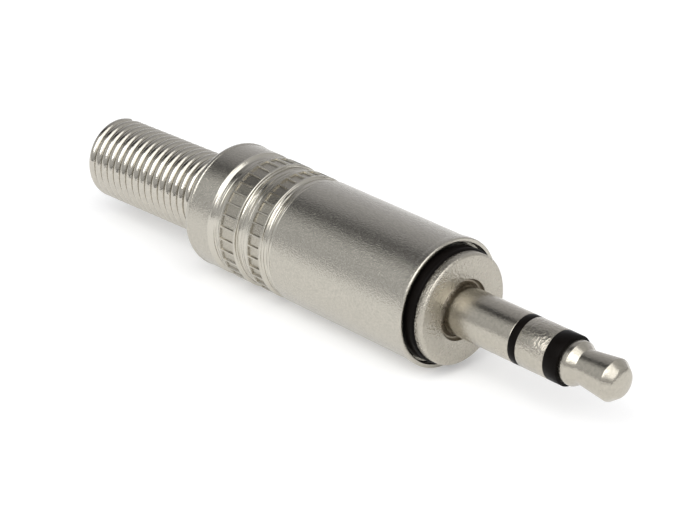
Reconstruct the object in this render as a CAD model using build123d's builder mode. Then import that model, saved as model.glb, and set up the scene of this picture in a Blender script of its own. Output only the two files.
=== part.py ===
from build123d import *
import math
import os

# Stereo jack plug for a 3.5 mm socket, with a screwed-on barrel and a kink protection spring.
# All sizes are in millimetres. The plug's axis is X, and its tip points to +X.
# The origin is the centre of the flange's front face, which meets the socket.

os.makedirs("parts", exist_ok=True)

# Clearances between the pieces
push_gap = 0.02
slip_gap = 0.05
seat_gap = 0.02

# Finger, which enters the socket
finger_d = 3.50
sleeve_length = 5.56
rear_ring_length = 0.62
ring_length = 2.39
front_ring_length = 1.10
land_d = 3.08
land_length = 0.54
neck_d = 2.38
neck_cone_length = 0.55
neck_length = 2.27
head_d = 2.93
nose_length = 0.87
nose_fullness = 0.65

# Rod and tubes inside the finger
rod_d = 1.00
tip_tube_wall = 0.28
ring_tube_wall = 0.33
ring_insulation_wall = 0.28

# Flange, marking ring and screw shank
flange_d = 7.92
flange_thickness = 0.70
flange_chamfer = 0.12
flange_recess_d = 4.36
flange_recess_depth = 0.45
root_taper = 0.10
marking_ring_d = 8.20
marking_ring_length = 1.20
marking_ring_chamfer = 0.10
thread_d = 7.00
thread_length = 5.50
thread_chamfer = 0.30
boss_d = 4.40
boss_length = 0.60
boss_rim = 0.15
base_bore_d = 3.64
base_bore_depth = 2.00

# Solder lugs and their insulators
lug_sheet = 0.40
base_flange_thickness = 0.70
lug_washer_d = 4.20
lug_washer_length = 0.85
ring_stake_length = 0.15
ring_stake_width = 0.20
ring_lug_disc_d = 4.20
tip_lug_disc_d = 3.20
end_washer_d = 2.40
end_washer_length = 0.30
rivet_d = 1.70
rivet_length = 0.35
tail_reach = 2.60
tail_width = 1.10
tail_hole_d = 0.60
ring_tail_length = 4.60
tip_tail_length = 4.60

# Ground lug with the cable clamp, and the insulating sleeve
ear_d = 5.50
strip_width = 1.50
strip_length = 10.10
strip_bend = 0.30
ground_hole_d = 0.90
ground_hole_setback = 4.00
clamp_length = 2.00
clamp_mouth = 4.10
tube_wall = 0.15
tube_length = 9.90

# Barrel, outside
barrel_d = 9.08
barrel_length = 21.78
barrel_overlap = 0.58
rim_d = 9.24
rim_length = 0.58
rim_bevel = 0.10
rear_land_d = 9.20
rear_land_length = 2.55
rear_lip_d = 9.30
rear_lip_length = 0.50
rear_chamfer = 0.25
groove_d = 8.76
groove_slopes = (0.25, 0.30, 0.18)
groove_floors = (0.85, 0.93, 0.88)
grip_band_ds = (9.18, 9.10)
grip_band_lengths = (1.67, 1.37)
grip_rib_counts = (32, 34)
grip_rib_turns = (10.4, 3.9)
grip_rib_width = 0.13
pocket_depth = 0.10
pocket_margin = 0.14

# Barrel, inside
mouth_d = 8.60
barrel_thread_length = 5.08
chamber_d = 7.20
rear_wall = 1.50
rear_hole_d = 6.40
hole_chamfer = 0.20

# Kink protection spring
spring_d = 6.10
wire_d = 0.70
wire_sides = 5
spring_pitch = 0.732
spring_turns = 20
flare_turns = 0.5
flare_rise = 0.40
spring_sag = 2.08
spring_roll = -25

# Radii of the nested contacts
finger_r = finger_d / 2
rod_r = rod_d / 2
tip_tube_bore = rod_r + push_gap
tip_tube_r = tip_tube_bore + tip_tube_wall
ring_tube_bore = tip_tube_r + push_gap
ring_tube_r = ring_tube_bore + ring_tube_wall
ring_insulation_bore = ring_tube_r + push_gap
ring_insulation_r = ring_insulation_bore + ring_insulation_wall
sleeve_bore = ring_insulation_r + push_gap
thread_r = thread_d / 2
boss_r = boss_d / 2
ring_stake_r = ring_tube_r + ring_stake_width

# Stations on the axis, from the flange to the nose
sleeve_front = sleeve_length
rear_ring_front = sleeve_front + rear_ring_length
ring_front = rear_ring_front + ring_length
front_ring_front = ring_front + front_ring_length
land_front = front_ring_front + land_length
neck_rear = land_front + neck_cone_length
head_rear = neck_rear + neck_length
nose = head_rear + nose_length

# Stations on the axis, from the flange to the rear
flange_rear = -flange_thickness
collar_rear = flange_rear - marking_ring_length
shank_rear = collar_rear - thread_length
ear_rear = shank_rear - lug_sheet
boss_rear = shank_rear - boss_length
base_front = boss_rear + base_bore_depth
base_rear = boss_rear - base_flange_thickness
ring_lug_rear = base_rear - lug_sheet
stake_rear = ring_lug_rear - ring_stake_length
lug_washer_rear = ring_lug_rear - lug_washer_length
tip_lug_rear = lug_washer_rear - lug_sheet
end_washer_rear = tip_lug_rear - end_washer_length
rod_rear = end_washer_rear - rivet_length

# Radii round the ground strip
ear_r = ear_d / 2
strip_corner_r = math.hypot(ear_r, strip_width / 2)
base_flange_r = strip_corner_r + push_gap
tube_bore_r = base_flange_r + push_gap
tube_r = tube_bore_r + tube_wall

# Stations and radii of the barrel
barrel_front = collar_rear + barrel_overlap
barrel_rear = barrel_front - barrel_length
mouth_floor = collar_rear - seat_gap
barrel_thread_r = thread_r + slip_gap
barrel_thread_rear = mouth_floor - barrel_thread_length
chamber_r = chamber_d / 2
shoulder = barrel_rear + rear_wall
rear_hole_r = rear_hole_d / 2
groove_r = groove_d / 2

# Axis of the spring, which sags a little behind the barrel's shoulder
wire_r = wire_d / 2
coil_r = spring_d / 2 - wire_r
sag_angle = math.radians(spring_sag)
spring_axis = Vector(math.cos(sag_angle), 0, math.sin(sag_angle))
flare_seat = Vector(shoulder + seat_gap + rear_hole_r * math.sin(sag_angle), 0, 0)
body_start = flare_seat - spring_axis * (spring_pitch * spring_turns)
flare_length = spring_pitch * flare_turns
flare_angle = math.atan2(flare_rise, flare_length)


def band(rear, front, inner, outer, mode=Mode.ADD):
    """Half section of a turned ring, between two stations on the axis."""
    with Locations(((rear + front) / 2, (inner + outer) / 2)):
        Rectangle(front - rear, outer - inner, mode=mode)


def corner(station, radius):
    """Corner of the half section that is nearest to a station and a radius."""
    return vertices().sort_by_distance((station, radius))[0]


def save(piece, name):
    """Label a finished piece and write it to its own file."""
    piece.label = name
    export_step(piece, f"parts/{name}.step")


def solder_lug(front, bore, disc_d, side, tail_length):
    """Stamped lug: a disc on the contact, and a tail bent back with a solder hole."""
    rear = front - lug_sheet
    with BuildPart() as lug:
        with BuildSketch(Plane.YZ.offset(rear)):
            Circle(disc_d / 2)
            with Locations((side * tail_reach / 2, 0)):
                Rectangle(tail_reach, tail_width)
            Circle(bore, mode=Mode.SUBTRACT)
        extrude(amount=lug_sheet)
        tail_plane = Plane.XZ.offset(-side * tail_reach)
        with BuildSketch(tail_plane):
            with Locations((front - tail_length / 2, 0)):
                Rectangle(tail_length, tail_width)
            fillet(vertices().group_by(Axis.X)[0], radius=tail_width / 3)
            with Locations((front - tail_length + tail_width * 0.7, 0)):
                Circle(tail_hole_d / 2, mode=Mode.SUBTRACT)
        extrude(amount=side * lug_sheet)
        bend = edges().filter_by(Axis.Z).sort_by_distance((front, side * tail_reach, 0))[0]
        fillet(bend, radius=strip_bend)
    return lug.part


# Tip contact: turned head, neck and land, with the rod riveted over at its rear end
with BuildPart() as tip_contact:
    with BuildSketch(Plane.XZ):
        with BuildLine():
            flank = Polyline(
                (nose, 0),
                (front_ring_front, 0),
                (front_ring_front, land_d / 2),
                (land_front, land_d / 2),
                (neck_rear, neck_d / 2),
                (head_rear, head_d / 2),
            )
            Bezier(
                flank @ 1,
                (head_rear + nose_fullness * nose_length, head_d / 2),
                (nose, nose_fullness * head_d / 2),
                flank @ 0,
            )
        make_face()
        band(rod_rear, front_ring_front, 0, rod_r)
        band(rod_rear, end_washer_rear, 0, rivet_d / 2)
        chamfer(corner(rod_rear, rivet_d / 2), length=rivet_length / 2)
    revolve(axis=Axis.X)
save(tip_contact.part, "tip_contact")

# Tip insulator: the front black ring and the tube that lines the ring contact
with BuildPart() as tip_insulator:
    with BuildSketch(Plane.XZ):
        band(ring_front, front_ring_front, tip_tube_bore, finger_r)
        band(lug_washer_rear, ring_front, tip_tube_bore, tip_tube_r)
    revolve(axis=Axis.X)
save(tip_insulator.part, "tip_insulator")

# Ring contact: the band between the black rings and its tube, staked over its lug
with BuildPart() as ring_contact:
    with BuildSketch(Plane.XZ):
        band(rear_ring_front, ring_front, ring_tube_bore, finger_r)
        band(stake_rear, rear_ring_front, ring_tube_bore, ring_tube_r)
        band(stake_rear, ring_lug_rear, ring_tube_bore, ring_stake_r)
    revolve(axis=Axis.X)
save(ring_contact.part, "ring_contact")

# Ring insulator: the rear black ring and the tube that lines the sleeve
with BuildPart() as ring_insulator:
    with BuildSketch(Plane.XZ):
        band(sleeve_front, rear_ring_front, ring_insulation_bore, finger_r)
        band(base_front, sleeve_front, ring_insulation_bore, ring_insulation_r)
    revolve(axis=Axis.X)
save(ring_insulator.part, "ring_insulator")

# Sleeve contact: sleeve, flange, screw shank and the boss staked over the ground lug
with BuildPart() as sleeve_contact:
    with BuildSketch(Plane.XZ):
        band(-flange_recess_depth, sleeve_front, sleeve_bore, finger_r)
        band(flange_rear, 0, sleeve_bore, flange_d / 2)
        chamfer(corner(0, flange_d / 2), length=flange_chamfer)
        band(-flange_recess_depth, 0, finger_r, flange_recess_d / 2, mode=Mode.SUBTRACT)
        with BuildLine():
            Polyline(
                (0, finger_r),
                (-flange_recess_depth, finger_r),
                (-flange_recess_depth, finger_r - root_taper),
                close=True,
            )
        make_face(mode=Mode.SUBTRACT)
        band(shank_rear, flange_rear, sleeve_bore, thread_r)
        chamfer(corner(shank_rear, thread_r), length=thread_chamfer)
        band(boss_rear, shank_rear, sleeve_bore, boss_r)
        band(boss_rear, ear_rear, boss_r, boss_r + boss_rim)
        band(boss_rear, base_front, sleeve_bore, base_bore_d / 2, mode=Mode.SUBTRACT)
    revolve(axis=Axis.X)
save(sleeve_contact.part, "sleeve_contact")

# Marking ring: plastic ring that sits on the shank, between the flange and the barrel
with BuildPart() as marking_ring:
    with BuildSketch(Plane.XZ):
        band(collar_rear, flange_rear, thread_r + push_gap, marking_ring_d / 2)
        chamfer(corner(flange_rear, marking_ring_d / 2), length=marking_ring_chamfer)
    revolve(axis=Axis.X)
save(marking_ring.part, "marking_ring")

# Ground lug: ear on the boss, strip with its solder hole, and the cable clamp's two tangs
with BuildPart() as ground_lug:
    with BuildSketch(Plane.YZ.offset(ear_rear)):
        Circle(ear_r)
        Circle(boss_r + push_gap, mode=Mode.SUBTRACT)
    extrude(amount=lug_sheet)
    with BuildSketch(Plane.XY.offset(-ear_r)):
        with Locations((shank_rear - strip_length / 2, 0)):
            Rectangle(strip_length, strip_width)
        with Locations((ear_rear - ground_hole_setback, 0)):
            Circle(ground_hole_d / 2, mode=Mode.SUBTRACT)
    extrude(amount=lug_sheet)
    with BuildSketch(Plane.YZ.offset(shank_rear - strip_length)):
        Circle(ear_r)
        Circle(ear_r - lug_sheet, mode=Mode.SUBTRACT)
        with Locations((0, ear_r)):
            Rectangle(clamp_mouth, 2 * ear_r, mode=Mode.SUBTRACT)
    extrude(amount=clamp_length)
save(ground_lug.part, "ground_lug")

# Base insulator: bush in the shank's rear end, with a slot in its flange for the ground strip
with BuildPart() as base_insulator:
    with BuildSketch(Plane.XZ):
        band(base_rear, base_front, ring_insulation_bore, base_bore_d / 2 - push_gap)
        band(base_rear, boss_rear, ring_insulation_bore, base_flange_r)
    revolve(axis=Axis.X)
    with BuildSketch(Plane.YZ.offset(base_rear)):
        with Locations((0, -ear_r)):
            Rectangle(strip_width + 2 * push_gap, 2 * (lug_sheet + push_gap))
    extrude(amount=base_flange_thickness, mode=Mode.SUBTRACT)
save(base_insulator.part, "base_insulator")

# Ring and tip solder lugs, on opposite sides of the plug
ring_lug = solder_lug(base_rear, ring_insulation_bore, ring_lug_disc_d, 1, ring_tail_length)
save(ring_lug, "ring_lug")
tip_lug = solder_lug(lug_washer_rear, tip_tube_bore, tip_lug_disc_d, -1, tip_tail_length)
save(tip_lug, "tip_lug")

# Lug washer: insulating disc between the two lugs, hollowed for the ring contact's stake
with BuildPart() as lug_washer:
    with BuildSketch(Plane.XZ):
        band(lug_washer_rear, ring_lug_rear, ring_tube_bore, lug_washer_d / 2)
        band(stake_rear, ring_lug_rear, ring_tube_bore, ring_stake_r + push_gap, mode=Mode.SUBTRACT)
    revolve(axis=Axis.X)
save(lug_washer.part, "lug_washer")

# End washer: metal disc under the rod's riveted end
with BuildPart() as end_washer:
    with BuildSketch(Plane.XZ):
        band(end_washer_rear, tip_lug_rear, tip_tube_bore, end_washer_d / 2)
    revolve(axis=Axis.X)
save(end_washer.part, "end_washer")

# Insulating sleeve: thin plastic tube pushed over the base insulator, round the solder lugs
with BuildPart() as insulating_sleeve:
    with BuildSketch(Plane.XZ):
        band(boss_rear - tube_length, boss_rear, tube_bore_r, tube_r)
    revolve(axis=Axis.X)
save(insulating_sleeve.part, "insulating_sleeve")

# Barrel: turned cover with three polished grooves and two bands of pockets between thin ribs
with BuildPart() as barrel:
    with BuildSketch(Plane.XZ):
        band(barrel_rear, barrel_front, 0, groove_r)
        band(barrel_rear, barrel_rear + rear_land_length, 0, rear_land_d / 2)
        band(barrel_rear, barrel_rear + rear_lip_length, 0, rear_lip_d / 2)
        chamfer(corner(barrel_rear, rear_lip_d / 2), length=rear_chamfer)
        station = barrel_rear + rear_land_length
        tops = (rear_land_d / 2, grip_band_ds[0] / 2, grip_band_ds[1] / 2)
        grip_bands = []
        for index, top in enumerate(tops):
            with BuildLine():
                Polyline(
                    (station, groove_r - push_gap),
                    (station, top),
                    (station + groove_slopes[index], groove_r),
                    (station + groove_slopes[index], groove_r - push_gap),
                    close=True,
                )
            make_face()
            station += groove_slopes[index] + groove_floors[index]
            if index < len(grip_band_lengths):
                front = station + grip_band_lengths[index]
                band(station, front, 0, grip_band_ds[index] / 2)
                grip_bands.append((station, front, grip_band_ds[index] / 2))
                station = front
        band(station, barrel_front, 0, barrel_d / 2)
        band(barrel_front - rim_length, barrel_front, 0, rim_d / 2)
        chamfer(corner(barrel_front, rim_d / 2), length=rim_bevel)
        band(mouth_floor, barrel_front, 0, mouth_d / 2, mode=Mode.SUBTRACT)
        chamfer(corner(barrel_front, mouth_d / 2), length=rim_bevel)
        band(barrel_thread_rear, mouth_floor, 0, barrel_thread_r, mode=Mode.SUBTRACT)
        chamfer(corner(mouth_floor, barrel_thread_r), length=hole_chamfer)
        band(shoulder, barrel_thread_rear, 0, chamber_r, mode=Mode.SUBTRACT)
        band(barrel_rear, shoulder, 0, rear_hole_r, mode=Mode.SUBTRACT)
        chamfer(corner(barrel_rear, rear_hole_r), length=hole_chamfer)
    revolve(axis=Axis.X)
    for (rear, front, top), rib_count, turn in zip(grip_bands, grip_rib_counts, grip_rib_turns):
        with BuildSketch(Plane.YZ.offset(rear + pocket_margin)):
            Circle(top + pocket_depth)
            RegularPolygon(
                top - pocket_depth,
                rib_count,
                major_radius=False,
                rotation=turn,
                mode=Mode.SUBTRACT,
            )
            with PolarLocations(top, rib_count, start_angle=turn):
                Rectangle(4 * pocket_depth, grip_rib_width, mode=Mode.SUBTRACT)
        extrude(amount=front - rear - 2 * pocket_margin, mode=Mode.SUBTRACT)
save(barrel.part, "barrel")

# Spring: close-wound wire whose front end widens to sit behind the barrel's shoulder
with BuildPart() as spring:
    with BuildLine() as wire_line:
        for turn in range(spring_turns):
            Helix(
                spring_pitch,
                spring_pitch,
                coil_r,
                center=body_start + spring_axis * (spring_pitch * turn),
                direction=spring_axis,
            )
        Helix(
            spring_pitch / math.cos(flare_angle),
            flare_length,
            coil_r,
            center=flare_seat,
            direction=spring_axis,
            cone_angle=math.degrees(flare_angle),
        )
    wire = wire_line.line
    with BuildSketch(Plane(origin=wire @ 0, x_dir=wire @ 0 - body_start, z_dir=wire % 0)):
        RegularPolygon(wire_r, wire_sides, rotation=180)
    sweep(path=wire, is_frenet=True)
save(spring.part.rotate(Axis(flare_seat, spring_axis), spring_roll), "spring")
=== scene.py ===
# %% [markdown]
# # A stereo jack plug
#
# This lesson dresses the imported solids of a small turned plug: a stepped contact finger,
# a flange, a black marking ring, a satin barrel with two grip bands, and a coil spring.
# Nearly every piece of it was made on a lathe, so nearly every piece here is spun.

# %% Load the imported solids
import math
import bpy
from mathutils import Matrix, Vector


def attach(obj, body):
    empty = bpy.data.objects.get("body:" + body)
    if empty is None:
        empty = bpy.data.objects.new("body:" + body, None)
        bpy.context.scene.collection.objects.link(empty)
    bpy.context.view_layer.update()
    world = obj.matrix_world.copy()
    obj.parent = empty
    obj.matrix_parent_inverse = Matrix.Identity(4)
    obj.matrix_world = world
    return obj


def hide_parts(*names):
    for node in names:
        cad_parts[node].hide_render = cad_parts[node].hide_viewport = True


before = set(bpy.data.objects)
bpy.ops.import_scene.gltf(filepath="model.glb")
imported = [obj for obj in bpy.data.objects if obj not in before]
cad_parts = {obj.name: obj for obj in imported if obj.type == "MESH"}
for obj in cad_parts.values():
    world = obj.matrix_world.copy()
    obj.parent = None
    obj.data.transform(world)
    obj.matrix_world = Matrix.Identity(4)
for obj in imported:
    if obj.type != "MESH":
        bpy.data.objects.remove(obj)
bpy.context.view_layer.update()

MM = 0.001
FULL_TURN = 2 * math.pi

# %% [markdown]
# ## Camera
#
# The camera looks down on the plug from in front of its tip, with a long lens, as in a
# catalogue picture. Its place and lens come from fitting the plug's own edges.

# %% Camera
CAMERA_PLACE = Vector((96.279, -102.878, 73.929)) * MM
LOOK_DOWN = math.radians(26.6414)
LOOK_ROUND = math.radians(46.1588)
camera_data = bpy.data.cameras.new("camera")
camera_data.lens = 123.41
camera_data.sensor_width = 36.0
camera_data.clip_start = 0.01
camera = bpy.data.objects.new("camera", camera_data)
camera.location = CAMERA_PLACE
camera.rotation_euler = (math.pi / 2 - LOOK_DOWN, 0, LOOK_ROUND)
bpy.context.scene.collection.objects.link(camera)
bpy.context.scene.camera = camera
print("camera lens", camera_data.lens, "mm, distance", round(CAMERA_PLACE.length / MM), "mm")

# %% [markdown]
# ## Materials
#
# Bare metal has no colour of its own beyond the tint of its reflections, so what tells
# satin from polished is how far each one spreads them. The fine marks of the lathe are
# rings round the axis: noise that is squeezed along X and stretched round it. They could
# be modelled, but they are hundredths of a millimetre deep, so they are bump.
# All patterns read Object coordinates, so they keep their place in every view.


# %% Helpers for node trees
def new_material(name):
    """A material with an empty Principled surface, and its nodes and links."""
    material = bpy.data.materials.new(name)
    material.use_nodes = True
    nodes = material.node_tree.nodes
    return material, nodes, material.node_tree.links, nodes["Principled BSDF"]


def calculate(nodes, links, operation, *values):
    """A Math node's result; each value is a number or the output of another node."""
    node = nodes.new("ShaderNodeMath")
    node.operation = operation
    for socket, value in zip(node.inputs, values):
        if isinstance(value, (int, float)):
            socket.default_value = value
        else:
            links.new(value, socket)
    return node.outputs["Value"]


def mixed(nodes, links, factor, first, second, blend="MIX"):
    """A mix of two colours; each is a tuple or the output of another node."""
    mix = nodes.new("ShaderNodeMix")
    mix.data_type = "RGBA"
    mix.blend_type = blend
    links.new(factor, mix.inputs["Factor"])
    for name, colour in (("A", first), ("B", second)):
        if isinstance(colour, tuple):
            mix.inputs[name].default_value = colour
        else:
            links.new(colour, mix.inputs[name])
    return mix.outputs["Result"]


def spread(nodes, links, source, low, high, start=0.3, end=0.7, interpolation="LINEAR"):
    """Turns a value that runs from start to end into one that runs from low to high."""
    scale = nodes.new("ShaderNodeMapRange")
    scale.interpolation_type = interpolation
    scale.inputs["From Min"].default_value = start
    scale.inputs["From Max"].default_value = end
    scale.inputs["To Min"].default_value = low
    scale.inputs["To Max"].default_value = high
    links.new(source, scale.inputs["Value"])
    return scale.outputs["Result"]


# %% Helpers for grain and relief; a noise scale counts patches to the metre
CLOUD_SCALE = 900
RING_SCALE = 5000
GRAIN_SCALE = 5000
SATIN_SCALE = 8500
MOULDED_SCALE = 2500


def object_noise(nodes, links, scale, detail=2.0, roughness=0.5, stretch=(1, 1, 1)):
    """Noise on the piece's own coordinates; stretch multiplies them on each axis."""
    place = nodes.new("ShaderNodeTexCoord")
    mapping = nodes.new("ShaderNodeMapping")
    mapping.inputs["Scale"].default_value = stretch
    noise = nodes.new("ShaderNodeTexNoise")
    noise.inputs["Scale"].default_value = scale
    noise.inputs["Detail"].default_value = detail
    noise.inputs["Roughness"].default_value = roughness
    links.new(place.outputs["Object"], mapping.inputs["Vector"])
    links.new(mapping.outputs["Vector"], noise.inputs["Vector"])
    return noise.outputs["Fac"]


def shades(colour, share):
    """A colour made darker and paler by a share of itself."""
    darker = (*[(1 - share) * channel for channel in colour[:3]], 1)
    paler = (*[(1 + share) * channel for channel in colour[:3]], 1)
    return darker, paler


def bump(nodes, links, surface, height, strength, depth):
    """Fine relief on a surface, its depth in millimetres."""
    relief = nodes.new("ShaderNodeBump")
    relief.inputs["Strength"].default_value = strength
    relief.inputs["Distance"].default_value = depth * MM
    links.new(height, relief.inputs["Height"])
    links.new(relief.outputs["Normal"], surface.inputs["Normal"])
    return relief


def tool_rings(nodes, links, relief, pace, depth):
    """Rings of the tool below another relief, their depth in millimetres.

    The pace is how fast the noise changes round the axis, as a share of its pace along it.
    """
    rings = object_noise(nodes, links, RING_SCALE, stretch=(1, pace, pace))
    marks = nodes.new("ShaderNodeBump")
    marks.inputs["Strength"].default_value = 0.5
    marks.inputs["Distance"].default_value = depth * MM
    links.new(rings, marks.inputs["Height"])
    links.new(marks.outputs["Normal"], relief.inputs["Normal"])
    return marks


# %% [markdown]
# ### Polished nickel
#
# The finger's contacts are turned, plated and tumbled bright. Their reflections are
# clear but not perfect: faint rings from the tool, and a slightly uneven plating. One
# function makes every bright part, because they differ only in how matt and how deeply
# marked they are: the head and the sleeve are the smoothest, the ring contact shows its
# tool rings, and the flange, which nothing rubs, has kept a fine grain.


# %% Polished nickel
def polished_nickel(name, tint, low, high, grain_depth, ring_depth):
    """Bright plating: its roughness lies between low and high, the depths are in mm."""
    material, nodes, links, surface = new_material(name)
    surface.inputs["Metallic"].default_value = 1.0
    polish = object_noise(nodes, links, CLOUD_SCALE, detail=3.0)
    links.new(spread(nodes, links, polish, low, high), surface.inputs["Roughness"])
    grain = object_noise(nodes, links, GRAIN_SCALE, detail=3.0, roughness=0.6)
    speckle = mixed(nodes, links, spread(nodes, links, grain, 0, 1), *shades(tint, 0.08))
    links.new(speckle, surface.inputs["Base Color"])
    relief = bump(nodes, links, surface, grain, 0.5, grain_depth)
    tool_rings(nodes, links, relief, 0.03, ring_depth)
    return material


CONTACT_TINT = (0.46, 0.431, 0.371, 1)
contact_nickel = polished_nickel("contact_nickel", CONTACT_TINT, 0.20, 0.28, 0.03, 0.005)
flange_nickel = polished_nickel("flange_nickel", CONTACT_TINT, 0.22, 0.32, 0.15, 0.02)
ring_nickel = polished_nickel("ring_nickel", CONTACT_TINT, 0.15, 0.25, 0.12, 0.04)
print("made", contact_nickel.name, flange_nickel.name, ring_nickel.name)

# %% [markdown]
# ### The recess at the finger's root
#
# The small trough round the finger's root mostly mirrors itself, so it looks brown and
# dull. Light alone would need a far deeper trough for that, so its faces get painted
# shade: a darker, warmer nickel of their own.

# %% Painted shade in the recess
# Painted shade: the trough's nickel is darker and warmer than the contacts'.
recess_shade_nickel = polished_nickel("recess_shade_nickel", (0.25, 0.22, 0.175, 1), 0.25, 0.35, 0.06, 0.02)
print("made", recess_shade_nickel.name)

# %% [markdown]
# ### Satin nickel
#
# The barrel is satin: thousands of tiny dents, smaller than a tenth of a millimetre,
# spread each reflection and make it sparkle. The three grooves were cut after that and
# stay bright. The floors of the pressed pockets get painted shade: their colour is made
# darker. One material does all of it, so that the barrel can stay one mesh: masks along
# the axis find the grooves and the bands, and the radius tells floors from ribs.


# %% Places on the barrel, as stations on the axis in millimetres
REAR_BAND = (-19.41, -17.82)
FRONT_BAND = (-16.51, -15.22)
GROOVES = ((-20.60, -19.42), (-17.82, -16.52), (-15.20, -14.10))
POCKET_RADIUS = 4.50


def inside_any(nodes, links, station, zones):
    """One where the station lies in any of the zones, else zero."""
    inside = None
    for rear, front in zones:
        middle = (rear + front) / 2 * MM
        reach = (front - rear) / 2 * MM
        near = calculate(nodes, links, "COMPARE", station, middle, reach)
        inside = near if inside is None else calculate(nodes, links, "MAXIMUM", inside, near)
    return inside


def pocket_mask(nodes, links, axes):
    """One in the two bands where the surface lies below the ribs, else zero."""
    square = [calculate(nodes, links, "MULTIPLY", axes.outputs[axis], axes.outputs[axis]) for axis in "YZ"]
    radius_squared = calculate(nodes, links, "ADD", *square)
    below = calculate(nodes, links, "LESS_THAN", radius_squared, (POCKET_RADIUS * MM) ** 2)
    band = inside_any(nodes, links, axes.outputs["X"], (REAR_BAND, FRONT_BAND))
    return calculate(nodes, links, "MULTIPLY", band, below)


# %% Satin nickel with polished grooves and painted shade in the pockets
NICKEL = (0.47, 0.446, 0.391, 1)
GROOVE_TINT = (0.55, 0.524, 0.463, 1)
POCKET_SHADE = (0.88, 0.87, 0.85, 1)


def satin_nickel(name):
    """Satin plating with polished grooves and painted shade on the pocket floors."""
    material, nodes, links, surface = new_material(name)
    surface.inputs["Metallic"].default_value = 1.0
    place = nodes.new("ShaderNodeTexCoord")
    axes = nodes.new("ShaderNodeSeparateXYZ")
    links.new(place.outputs["Object"], axes.inputs["Vector"])
    groove = inside_any(nodes, links, axes.outputs["X"], GROOVES)
    links.new(spread(nodes, links, groove, 0.19, 0.18, 0, 1), surface.inputs["Roughness"])
    grain = object_noise(nodes, links, SATIN_SCALE, detail=3.0, roughness=0.65)
    satin = mixed(nodes, links, spread(nodes, links, grain, 0, 1), *shades(NICKEL, 0.14))
    tint = mixed(nodes, links, groove, satin, GROOVE_TINT)
    pocket = pocket_mask(nodes, links, axes)
    # Painted shade: the pocket floors' colour is multiplied darker.
    tint = mixed(nodes, links, pocket, tint, POCKET_SHADE, blend="MULTIPLY")
    links.new(tint, surface.inputs["Base Color"])
    relief = bump(nodes, links, surface, grain, 0.5, 0.055)
    links.new(spread(nodes, links, groove, 0.5, 0.15, 0, 1), relief.inputs["Strength"])
    marks = tool_rings(nodes, links, relief, 0.04, 0.20)
    links.new(spread(nodes, links, groove, 0.0, 0.7, 0, 1), marks.inputs["Strength"])
    return material


barrel_nickel = satin_nickel("barrel_nickel")
print("made", barrel_nickel.name, "with", len(GROOVES), "polished grooves")

# %% [markdown]
# ### Spring wire, plastics and tinned sheet
#
# Drawn wire is the brightest metal here, and hardly marked. The lugs are tinned, which
# is paler and more matt than nickel. Both differ from the contacts by degree, so they
# come from the same function. The rings and the marking collar are black plastic, and
# the bushes inside are plain ivory. The colour of plastic comes from inside it, so it
# has a function of its own, which sets colour and gloss apart.

# %% Wire and tin
wire_nickel = polished_nickel("wire_nickel", (0.51, 0.484, 0.428, 1), 0.08, 0.14, 0.02, 0.0)
tinned_sheet = polished_nickel("tinned_sheet", (0.66, 0.66, 0.64, 1), 0.22, 0.38, 0.03, 0.0)
print("made", wire_nickel.name, tinned_sheet.name)


# %% Plastics
def plastic(name, colour, roughness, shine=0.5):
    """Moulded plastic with a faint uneven gloss; shine is its specular level."""
    material, nodes, links, surface = new_material(name)
    surface.inputs["Specular IOR Level"].default_value = shine
    tone = object_noise(nodes, links, MOULDED_SCALE)
    links.new(mixed(nodes, links, tone, *shades(colour, 0.15)), surface.inputs["Base Color"])
    gloss = spread(nodes, links, tone, roughness * 0.8, roughness * 1.2)
    links.new(gloss, surface.inputs["Roughness"])
    bump(nodes, links, surface, tone, 0.2, 0.005)
    return material


black_plastic = plastic("black_plastic", (0.0045, 0.0035, 0.003), 0.40, shine=0.05)
ivory_plastic = plastic("ivory_plastic", (0.72, 0.66, 0.52), 0.45)
sleeve_plastic = plastic("sleeve_plastic", (0.80, 0.82, 0.80), 0.35)
print("made", black_plastic.name, ivory_plastic.name, sleeve_plastic.name)

# %% [markdown]
# ## Turning on the lathe
#
# A turned piece is a profile spun round the axis. The profile is walked in edit mode: a
# plane shrunk to one vertex is extruded from point to point, then Spin carries it round.
# A cylinder with loop cuts would do for one step, but the plug has dozens of them.
# Corners get a small bevel, because a real edge is never sharp and catches the light.


# %% Selecting and walking a profile
def select_only(piece):
    """Makes one object the only selected and active one."""
    bpy.ops.object.select_all(action="DESELECT")
    piece.select_set(True)
    bpy.context.view_layer.objects.active = piece


def edit_all(piece):
    """Opens one piece in edit mode with all of it selected."""
    select_only(piece)
    bpy.ops.object.mode_set(mode="EDIT")
    bpy.ops.mesh.select_all(action="SELECT")


def walk(name, profile):
    """Extrudes one vertex along a profile of (station, radius) pairs in millimetres."""
    bpy.ops.object.select_all(action="DESELECT")
    bpy.ops.mesh.primitive_plane_add(size=MM, location=(0, 0, 0))
    piece = bpy.context.object
    piece.name = name
    piece.data.name = name
    bpy.ops.object.mode_set(mode="EDIT")
    bpy.ops.mesh.select_mode(type="VERT")
    bpy.ops.mesh.select_all(action="SELECT")
    bpy.ops.mesh.merge(type="CENTER")
    station, radius = profile[0]
    bpy.ops.transform.translate(value=(station * MM, 0, radius * MM))
    for (x0, r0), (x1, r1) in zip(profile, profile[1:]):
        move = ((x1 - x0) * MM, 0, (r1 - r0) * MM)
        bpy.ops.mesh.extrude_vertices_move(TRANSFORM_OT_translate={"value": move})
    bpy.ops.object.mode_set(mode="OBJECT")
    return piece


# %% Spinning and smoothing
def spin_round(piece, steps, angle=FULL_TURN):
    """Spins all of a piece round the axis and welds its seam."""
    edit_all(piece)
    bpy.ops.mesh.spin(steps=steps, angle=angle, center=(0, 0, 0), axis=(1, 0, 0))
    bpy.ops.mesh.select_all(action="SELECT")
    bpy.ops.mesh.remove_doubles(threshold=0.0005 * MM)
    bpy.ops.object.mode_set(mode="OBJECT")


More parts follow.
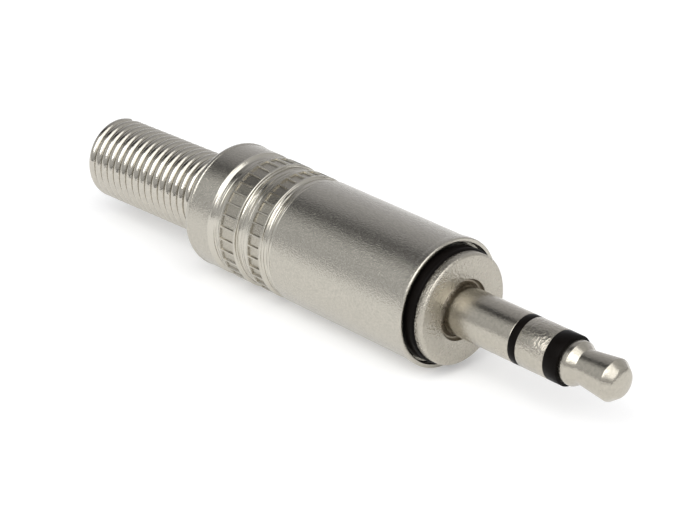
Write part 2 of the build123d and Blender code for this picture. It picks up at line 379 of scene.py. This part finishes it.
def face_outward(piece):
    """Recalculates the normals of a closed piece, so that they all point out."""
    edit_all(piece)
    bpy.ops.mesh.normals_make_consistent(inside=False)
    bpy.ops.object.mode_set(mode="OBJECT")


def soften(piece, width):
    """Rounds the sharp edges with a bevel, its width in millimetres."""
    select_only(piece)
    edge = piece.modifiers.new("edges", "BEVEL")
    edge.width = width * MM
    edge.segments = 2
    edge.limit_method = "ANGLE"
    edge.angle_limit = math.radians(28)
    bpy.ops.object.modifier_apply(modifier=edge.name)


def shade(piece, angle=40):
    """Shades smooth below an angle, with the flat faces kept flat."""
    select_only(piece)
    bpy.ops.object.shade_smooth_by_angle(angle=math.radians(angle))
    weight = piece.modifiers.new("weights", "WEIGHTED_NORMAL")
    weight.keep_sharp = True
    bpy.ops.object.modifier_apply(modifier=weight.name)


# %% Turned pieces and tubes
def turned(name, profile, steps=160, width=0.03):
    """A closed turned piece; the profile ends on the axis, or where it began."""
    piece = walk(name, profile)
    spin_round(piece, steps)
    face_outward(piece)
    soften(piece, width)
    shade(piece)
    return piece


def tube(name, sections, bore):
    """A stepped tube from (rear, front, radius) sections, rear first, round one bore."""
    rear_end = sections[0][0]
    front_end = sections[-1][1]
    profile = [(rear_end, bore)]
    for rear, front, radius in sections:
        profile += [(rear, radius), (front, radius)]
    profile += [(front_end, bore), (rear_end, bore)]
    return turned(name, profile)


# %% Dressing a piece
def dress(piece, material, slot, body, *nodes):
    """Gives a piece its finish, its body and the solids that it stands for."""
    piece.data.materials.clear()
    piece.data.materials.append(material)
    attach(piece, body)
    if nodes:
        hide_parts(*nodes)
    low = [round(min(v.co[i] for v in piece.data.vertices) / MM, 2) for i in range(3)]
    high = [round(max(v.co[i] for v in piece.data.vertices) / MM, 2) for i in range(3)]
    print(piece.name, "has", len(piece.data.polygons), "faces, from", low, "to", high)


# %% [markdown]
# ## The contact finger
#
# The tip is one long pin, and its head is what the socket's spring clicks behind: a
# land, a short cone down to a neck that widens again, and the nose. The nose is a broad
# bevel between a rounded rim and a nearly flat end. The bevel is one long step, so that
# it mirrors one lamp all over, and the rounds beside it are short steps.

# %% Stations and radii of the finger in millimetres
FINGER_R = 1.75
ROD_R = 0.50
SLEEVE_FRONT = 5.56
REAR_RING_FRONT = 6.18
RING_FRONT = 8.57
FRONT_RING_FRONT = 9.67
LAND_FRONT = 10.21

# %% Tip contact
riveted_end = [(-11.00, 0), (-11.00, 0.68), (-10.83, 0.85), (-10.65, 0.85), (-10.65, ROD_R)]
head = [
    (FRONT_RING_FRONT, ROD_R), (FRONT_RING_FRONT, 1.54), (LAND_FRONT, 1.54),
    (10.76, 1.19), (13.03, 1.465),
]
nose_bevel = [(13.08, 1.464), (13.12, 1.456), (13.16, 1.437), (13.65, 1.08), (13.71, 1.03)]
nose_end = [(13.77, 0.94), (13.82, 0.82), (13.855, 0.66), (13.88, 0.46), (13.895, 0.23), (13.90, 0)]
tip_pin = turned("tip_pin", riveted_end + head + nose_bevel + nose_end, width=0.04)
dress(tip_pin, contact_nickel, "polished_nickel", "plug", "tip_contact")

# %% [markdown]
# ### Rings of the finger
#
# Each black ring is the front end of a plastic tube, and the band between them is the
# front end of a metal one. The tubes lie one in another, and only their ends reach the
# finger's full radius. Plain rings would look the same from outside, but the tubes also
# show at the rear when the barrel is off, and they are as quick to turn.

# %% Rings of the finger
front_sections = [(-9.95, RING_FRONT, 0.80), (RING_FRONT, FRONT_RING_FRONT, FINGER_R)]
front_ring = tube("front_ring", front_sections, 0.52)
dress(front_ring, black_plastic, "black_plastic", "plug", "tip_insulator")
ring_sections = [
    (-9.25, -9.10, 1.35), (-9.10, REAR_RING_FRONT, 1.15), (REAR_RING_FRONT, RING_FRONT, FINGER_R),
]
ring_band = tube("ring_band", ring_sections, 0.82)
dress(ring_band, ring_nickel, "polished_nickel", "plug", "ring_contact")
rear_sections = [(-6.00, SLEEVE_FRONT, 1.45), (SLEEVE_FRONT, REAR_RING_FRONT, FINGER_R)]
rear_ring = tube("rear_ring", rear_sections, 1.17)
dress(rear_ring, black_plastic, "black_plastic", "plug", "ring_insulator")

# %% [markdown]
# ## Sleeve and flange
#
# The sleeve, flange and shank are one turned piece. Round the finger's root the flange
# has a shallow trough, left by the tool that faced it. The finger could be a piece of its
# own, set into the flange, but one profile keeps the trough closed and smooth. The shank
# is turned down to the root of its thread, which is wound on in the next step.

# %% Sleeve and flange
THREAD_ROOT = 3.06
shank = [
    (-8.00, 1.82), (-8.00, 2.35), (-7.80, 2.35), (-7.80, 2.20), (-7.40, 2.20),
    (-7.40, THREAD_ROOT - 0.15), (-7.20, THREAD_ROOT), (-1.90, THREAD_ROOT), (-1.90, 3.50),
]
flange = [(-0.70, 3.50), (-0.70, 3.96), (-0.12, 3.96), (0.00, 3.84), (0.00, 2.18)]
trough = [(-0.24, 2.14), (-0.33, 2.05), (-0.33, 1.95), (-0.22, 1.83), (-0.03, FINGER_R)]
sleeve = [(0.10, FINGER_R), (5.46, FINGER_R), (SLEEVE_FRONT, FINGER_R)]
bore = [(SLEEVE_FRONT, 1.47), (-6.00, 1.47), (-6.00, 1.82), (-8.00, 1.82)]
sleeve_body = turned("sleeve_body", shank + flange + trough + sleeve + bore, steps=192)
print("sleeve and flange:", len(sleeve_body.data.polygons), "faces")

# %% [markdown]
# ### Screw thread
#
# The thread shows when the barrel comes off. Rings stacked along the shank would not
# climb, so it is a real screw: a small flat-topped triangle that the Screw modifier
# carries round the axis, 0.75 mm forward for each turn. Its two ends are then closed.

# %% Thread ridge
PITCH = 0.75
THREAD_TURNS = 6
RIDGE_FOOT = THREAD_ROOT - 0.05
RIDGE_TOP = 3.47
ridge_profile = [(-7.72, RIDGE_FOOT), (-7.36, RIDGE_TOP), (-7.30, RIDGE_TOP), (-6.94, RIDGE_FOOT)]
ridge = walk("ridge", ridge_profile + ridge_profile[:1])
edit_all(ridge)
bpy.ops.mesh.remove_doubles(threshold=0.001 * MM)
bpy.ops.object.mode_set(mode="OBJECT")
winding = ridge.modifiers.new("winding", "SCREW")
winding.axis = "X"
winding.screw_offset = PITCH * MM
winding.iterations = THREAD_TURNS
winding.steps = 72
winding.render_steps = 72
winding.use_smooth_shade = False
bpy.ops.object.modifier_apply(modifier=winding.name)
bpy.ops.object.mode_set(mode="EDIT")
bpy.ops.mesh.select_all(action="DESELECT")
bpy.ops.mesh.select_non_manifold()
bpy.ops.mesh.fill_holes(sides=0)
bpy.ops.object.mode_set(mode="OBJECT")
face_outward(ridge)
shade(ridge, 20)
select_only(sleeve_body)
ridge.select_set(True)
bpy.ops.object.join()
dress(sleeve_body, contact_nickel, "polished_nickel", "plug", "sleeve_contact")


# %% [markdown]
# ### Two finishes and painted shade on one piece
#
# The flange is matt, and the trough is dull and gets painted shade, yet both were turned
# in one with the bright sleeve. Cutting the mesh apart would leave open edges, so it stays
# whole, and its faces get their material by where they lie.


# %% Finishes and painted shade on parts of the sleeve
def paint_faces(piece, material, rear, front, low, high):
    """Gives a material to the faces between two stations and two radii, in millimetres."""
    piece.data.materials.append(material)
    painted = 0
    for face in piece.data.polygons:
        station = face.center.x / MM
        radius = math.hypot(face.center.y, face.center.z) / MM
        if rear < station < front and low < radius < high:
            face.material_index = len(piece.data.materials) - 1
            painted += 1
    print(material.name, "covers", painted, "faces of", piece.name)


paint_faces(sleeve_body, flange_nickel, -0.75, 0.001, 2.17, 4.00)
# The trough's faces get painted shade: a darker, warmer nickel.
paint_faces(sleeve_body, recess_shade_nickel, -0.50, -0.03, 1.60, 2.20)

# %% [markdown]
# ## Marking ring
#
# A loose ring of black plastic lies behind the flange, inside the barrel's mouth. It is
# a plain turned ring with one chamfer, so the lathe makes it in one call.

# %% Marking ring
marking_profile = [
    (-1.90, 3.52), (-1.90, 4.10), (-0.80, 4.10), (-0.70, 4.00), (-0.70, 3.52), (-1.90, 3.52),
]
marking_collar = turned("marking_collar", marking_profile, steps=192, width=0.04)
dress(marking_collar, black_plastic, "black_plastic", "plug", "marking_ring")

# %% [markdown]
# ## Grip bands
#
# The barrel is spun like the rest, but its two grip bands are not turned: a wheel
# pressed a row of shallow pockets into each, with thin ribs between them. A boolean cut
# for each pocket would leave rough shading, so one cell of a band is modelled with its
# pocket, and Spin copies it round. 32 cells of 17 steps and 34 cells of 16 steps both
# make 544, so the bands weld onto the spun barrel.

# %% Grip bands
BARREL_STEPS = 544
BAND_MARGIN = 0.10
POCKET_EDGE = 0.045
POCKET_SINK = 0.085
REAR_BAND_TOP = 4.59
FRONT_BAND_TOP = 4.55


def grip_band(name, band, top, cells, pocket_floor, shift):
    """A band of pockets round the axis, each with a flat floor and a thin rib between.

    The cell is shaped on top of the barrel, and then turned by some of the barrel's steps.
    """
    rear, front = band
    steps = BARREL_STEPS // cells
    stations = (rear, rear + BAND_MARGIN, front - BAND_MARGIN, front)
    patch = walk(name, [(station, top) for station in stations])
    spin_round(patch, steps, FULL_TURN / cells)
    select_only(patch)
    bpy.ops.object.mode_set(mode="EDIT")
    bpy.ops.mesh.select_mode(type="FACE")
    bpy.ops.mesh.select_all(action="SELECT")
    bpy.ops.transform.rotate(value=-math.pi / cells, orient_axis="X", center_override=(0, 0, 0))
    bpy.ops.object.mode_set(mode="OBJECT")
    angles = [math.atan2(face.center.y, face.center.z) for face in patch.data.polygons]
    middle = (max(angles) + min(angles)) / 2
    half_rib = 1.0 / steps
    for face, angle in zip(patch.data.polygons, angles):
        inside = abs(face.center.x / MM - (rear + front) / 2) < (front - rear) / 2 - BAND_MARGIN
        beside = abs(angle - middle) < (0.5 - half_rib) * FULL_TURN / cells
        face.select = inside and beside
    bpy.ops.object.mode_set(mode="EDIT")
    bpy.ops.mesh.inset(thickness=POCKET_EDGE * MM, depth=-POCKET_SINK * MM)
    bpy.ops.transform.resize(value=(1, 1, 0), center_override=(0, 0, pocket_floor * MM))
    bpy.ops.mesh.select_all(action="SELECT")
    place = math.pi / cells + shift * FULL_TURN / BARREL_STEPS
    bpy.ops.transform.rotate(value=place, orient_axis="X", center_override=(0, 0, 0))
    bpy.ops.mesh.spin(steps=cells, dupli=True, angle=FULL_TURN, center=(0, 0, 0), axis=(1, 0, 0))
    bpy.ops.mesh.select_all(action="SELECT")
    bpy.ops.mesh.remove_doubles(threshold=0.002 * MM)
    bpy.ops.object.mode_set(mode="OBJECT")
    print(name, "has", cells, "pockets and", len(patch.data.polygons), "faces")
    return patch


rear_band = grip_band("rear_band", REAR_BAND, REAR_BAND_TOP, 32, 4.465, 1)
front_band = grip_band("front_band", FRONT_BAND, FRONT_BAND_TOP, 34, 4.415, 2)

# %% [markdown]
# ## Barrel
#
# The barrel is one thin shell with three grooves. The groove wall that faces the tip is
# rolled over in two of them and a long slope in the rear one, and it draws a bright
# line there. Two parts of the profile are walked and spun, because the bands fill the
# gaps between them, and the four meshes are then welded into one closed shell.

# %% Profiles of the barrel
GROOVE_R = 4.38
front_groove = [
    (-15.22, FRONT_BAND_TOP), (-15.20, 4.55), (-15.165, 4.535), (-15.14, 4.50), (-15.12, 4.43),
    (-15.09, 4.395), (-15.05, GROOVE_R), (-14.12, GROOVE_R), (-14.12, 4.54),
]
mouth = [
    (-1.93, 4.54), (-1.87, 4.62), (-1.40, 4.62), (-1.32, 4.56),
    (-1.32, 4.34), (-1.40, 4.30), (-1.92, 4.30), (-1.92, 3.75), (-2.12, 3.55),
]
chamber = [(-7.00, 3.55), (-7.00, 3.60), (-21.60, 3.60), (-21.60, 3.20)]
rear_end = [
    (-22.95, 3.20), (-23.10, 3.35), (-23.10, 4.34), (-23.06, 4.47), (-22.97, 4.57),
    (-22.85, 4.63), (-22.66, 4.65), (-22.60, 4.61), (-22.54, 4.602),
]
rear_groove = [
    (-20.55, 4.60), (-20.30, GROOVE_R), (-19.45, GROOVE_R), (-19.45, 4.59), (-19.41, REAR_BAND_TOP),
]
middle_groove = [
    (-17.82, REAR_BAND_TOP), (-17.80, 4.59), (-17.765, 4.575), (-17.74, 4.54), (-17.72, 4.43),
    (-17.69, 4.395), (-17.64, GROOVE_R), (-16.55, GROOVE_R), (-16.55, 4.55), (-16.51, FRONT_BAND_TOP),
]
print("barrel from", rear_end[1][0], "to", mouth[3][0], "mm")

# %% Barrel shell
barrel_shell = walk("barrel_shell", front_groove + mouth + chamber + rear_end + rear_groove)
spin_round(barrel_shell, BARREL_STEPS)
soften(barrel_shell, 0.02)
middle_part = walk("middle_part", middle_groove)
spin_round(middle_part, BARREL_STEPS)
soften(middle_part, 0.02)
select_only(barrel_shell)
for part in (middle_part, rear_band, front_band):
    part.select_set(True)
bpy.ops.object.join()
bpy.ops.object.mode_set(mode="EDIT")
bpy.ops.mesh.select_all(action="SELECT")
bpy.ops.mesh.remove_doubles(threshold=0.003 * MM)
bpy.ops.mesh.select_all(action="DESELECT")
bpy.ops.mesh.select_non_manifold()
bpy.ops.object.mode_set(mode="OBJECT")
print("open edges left on the barrel:", sum(edge.select for edge in barrel_shell.data.edges))
face_outward(barrel_shell)
shade(barrel_shell)
dress(barrel_shell, barrel_nickel, "satin_nickel", "barrel", "barrel")

# %% [markdown]
# ## Kink protection spring
#
# A close-wound spring is one wire, so it is one circle carried along a screw line. A
# bevelled curve would do as well, but the Screw modifier leaves clean rings, which can
# be opened out one by one: the front end widens behind the barrel's shoulder, and that
# is what holds the spring in. It leaves the barrel sagging by two degrees.

# %% Spring
WIRE_R = 0.34
WIRE_SIDES = 16
COIL_R = 2.70
SPRING_PITCH = 0.732
SPRING_TURNS = 20.5
STEPS_PER_TURN = 64
SEAT_STATION = -21.464
spring_rear = SEAT_STATION - 20 * SPRING_PITCH
bpy.ops.object.select_all(action="DESELECT")
bpy.ops.mesh.primitive_circle_add(vertices=WIRE_SIDES, radius=WIRE_R * MM,
                                  location=(spring_rear * MM, 0, COIL_R * MM),
                                  rotation=(math.pi / 2, 0, 0))
spring_wire = bpy.context.object
spring_wire.name = "spring_wire"
bpy.ops.object.transform_apply(location=True, rotation=True, scale=True)
coil = spring_wire.modifiers.new("coil", "SCREW")
coil.axis = "X"
coil.angle = SPRING_TURNS * FULL_TURN
coil.screw_offset = SPRING_TURNS * SPRING_PITCH * MM
coil.steps = int(SPRING_TURNS * STEPS_PER_TURN)
coil.render_steps = coil.steps
bpy.ops.object.modifier_apply(modifier=coil.name)
wire_rings = len(spring_wire.data.vertices) // WIRE_SIDES
print("spring rings:", wire_rings)

# %% Closed ends and the opened front
FLARE_RINGS = 32
FLARE_RISE = 0.40
bpy.ops.object.mode_set(mode="EDIT")
bpy.ops.mesh.select_all(action="DESELECT")
bpy.ops.mesh.select_non_manifold()
bpy.ops.mesh.fill_holes(sides=0)
bpy.ops.object.mode_set(mode="OBJECT")
for vertex in spring_wire.data.vertices:
    past = vertex.index // WIRE_SIDES - (wire_rings - FLARE_RINGS)
    if past > 0:
        radius = math.hypot(vertex.co.y, vertex.co.z)
        grow = 1 + FLARE_RISE * MM * (past / FLARE_RINGS) / radius
        vertex.co.y *= grow
        vertex.co.z *= grow
print("opened the last", FLARE_RINGS, "rings by", FLARE_RISE, "mm")

# %% Roll and sag of the spring
SPRING_ROLL = math.radians(25)
SPRING_SAG = math.radians(2.08)
SEAT = Vector((SEAT_STATION, 0, 0)) * MM
edit_all(spring_wire)
bpy.ops.transform.rotate(value=SPRING_ROLL, orient_axis="X", center_override=SEAT)
bpy.ops.transform.rotate(value=SPRING_SAG, orient_axis="Y", center_override=SEAT)
bpy.ops.object.mode_set(mode="OBJECT")
face_outward(spring_wire)
shade(spring_wire, 50)
dress(spring_wire, wire_nickel, "spring_wire", "spring", "spring")

# %% [markdown]
# ## The pieces inside
#
# The lugs, washers, bush and insulating sleeve sit under the barrel. They could be
# modelled again like the rest, but stamped and moulded pieces with flat faces already
# look right as solids. They keep their shape, and get a finish.

# %% Finishes of the inner solids
INNER_FINISHES = {
    "ground_lug": tinned_sheet, "ring_lug": tinned_sheet, "tip_lug": tinned_sheet,
    "end_washer": tinned_sheet, "base_insulator": ivory_plastic, "lug_washer": ivory_plastic,
    "insulating_sleeve": sleeve_plastic,
}
for node_name, finish in INNER_FINISHES.items():
    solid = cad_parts[node_name]
    solid.data.materials.clear()
    solid.data.materials.append(finish)
print("finished", len(INNER_FINISHES), "inner solids")

# %% [markdown]
# ## Floor
#
# The floor is white paper. Its own shading carries the plug's soft shadow, and a weak
# glow that only the camera, mirrors and glass see lifts it to a clean white.

# %% Floor
FLOOR_Z = -4.65
PAPER_GLOW = 0.28
bpy.ops.object.select_all(action="DESELECT")
bpy.ops.mesh.primitive_plane_add(size=4.0, location=(0, 0, FLOOR_Z * MM))
floor = bpy.context.object
floor.name = "floor"
paper, nodes, links, surface = new_material("paper")
surface.inputs["Base Color"].default_value = (0.82, 0.82, 0.82, 1)
surface.inputs["Roughness"].default_value = 0.9
surface.inputs["Specular IOR Level"].default_value = 0.0
surface.inputs["Emission Color"].default_value = (1, 1, 1, 1)
rays = nodes.new("ShaderNodeLightPath").outputs
seen = calculate(nodes, links, "MAXIMUM", rays["Is Camera Ray"], rays["Is Glossy Ray"])
seen = calculate(nodes, links, "MAXIMUM", seen, rays["Is Transmission Ray"])
glow = calculate(nodes, links, "MULTIPLY", seen, PAPER_GLOW)
links.new(glow, surface.inputs["Emission Strength"])
floor.data.materials.append(paper)
print("floor at", FLOOR_Z, "mm")

# %% [markdown]
# ## The room
#
# Metal shows its surroundings, so the room is built by what the plug mirrors. Towards
# the cable end the walls fade from a pale horizon to a dark gap under the ceiling, and
# that gap draws the dark streak along the barrel. Going round the plug's axis, these
# walls follow a ramp. Towards the tip the wall is plain, apart from a dark strip at the
# floor, which draws a thin dark line on the faces that look that way.

# %% Directions in the room
world = bpy.data.worlds.new("room")
bpy.context.scene.world = world
world.use_nodes = True
nodes = world.node_tree.nodes
links = world.node_tree.links
sky = nodes["Background"]
direction = nodes.new("ShaderNodeTexCoord")
axes = nodes.new("ShaderNodeSeparateXYZ")
links.new(direction.outputs["Generated"], axes.inputs["Vector"])
around = calculate(nodes, links, "ARCTAN2", axes.outputs["Z"], axes.outputs["Y"])
half_turns = calculate(nodes, links, "DIVIDE", around, math.pi)
print("room axes:", [output.name for output in axes.outputs])

# %% Walls towards the cable end, as levels by the angle round the axis
REAR_WALLS = (
    (0, 0.94), (24, 0.84), (48, 0.62), (72, 0.50), (86, 0.28), (96, 0.02),
    (105, 0.18), (118, 0.64), (134, 0.80), (160, 0.80), (180, 0.70),
)
COOL_TONE = (1.00, 1.00, 1.04)
WARM_TONE = (0.98, 0.99, 1.00)
TONE_CHANGE = 115
walls = nodes.new("ShaderNodeValToRGB")
walls.color_ramp.interpolation = "CARDINAL"
for index, (angle, level) in enumerate(REAR_WALLS):
    if index < 2:
        stop = walls.color_ramp.elements[index]
    else:
        stop = walls.color_ramp.elements.new(angle / 180)
    stop.position = angle / 180
    tone = WARM_TONE if angle > TONE_CHANGE else COOL_TONE
    stop.color = (*[level * channel for channel in tone], 1)
links.new(half_turns, walls.inputs["Fac"])
print("walls made with", len(walls.color_ramp.elements), "stops")

# %% Wall towards the tip, and both joined
ROOM_LEVEL = 0.84
toward_tip = spread(nodes, links, axes.outputs["X"], low=0, high=1,
                    start=-0.35, end=0.25, interpolation="SMOOTHSTEP")
tip_wall = spread(nodes, links, axes.outputs["Z"], low=0.10, high=0.75,
                  start=0.03, end=0.13, interpolation="SMOOTHSTEP")
room = mixed(nodes, links, toward_tip, walls.outputs["Color"], tip_wall)
links.new(room, sky.inputs["Color"])
sky.inputs["Strength"].default_value = ROOM_LEVEL
print("room level", ROOM_LEVEL)

# %% [markdown]
# ## Soft boxes
#
# A wide soft box hangs over the tip's side and gives the barrel its even light. A
# smaller and brighter one in front is the key light: it makes the white patch on the
# nose and the bright lines on the grooves. Area lamps are used, because a mirror shows
# their whole face, where a point lamp would only leave a spark.


# %% Soft boxes
def soft_box(name, place, width, height, level):
    """A rectangular lamp turned to the plug, in metres; its face is as bright as level."""
    lamp = bpy.data.lights.new(name, "AREA")
    lamp.shape = "RECTANGLE"
    lamp.size = width
    lamp.size_y = height
    lamp.energy = level * math.pi * width * height
    box = bpy.data.objects.new(name, lamp)
    box.location = place
    box.rotation_euler = Vector(place).to_track_quat("Z", "Y").to_euler()
    bpy.context.scene.collection.objects.link(box)
    print(name, "gives", round(lamp.energy, 2), "W")


soft_box("top_box", (0.28, -0.12, 0.43), 0.46, 0.62, 1.5)
soft_box("key_box", (0.05, -0.35, 0.35), 0.36, 0.36, 2.8)

# %% Colour management
bpy.context.scene.view_settings.view_transform = "Standard"
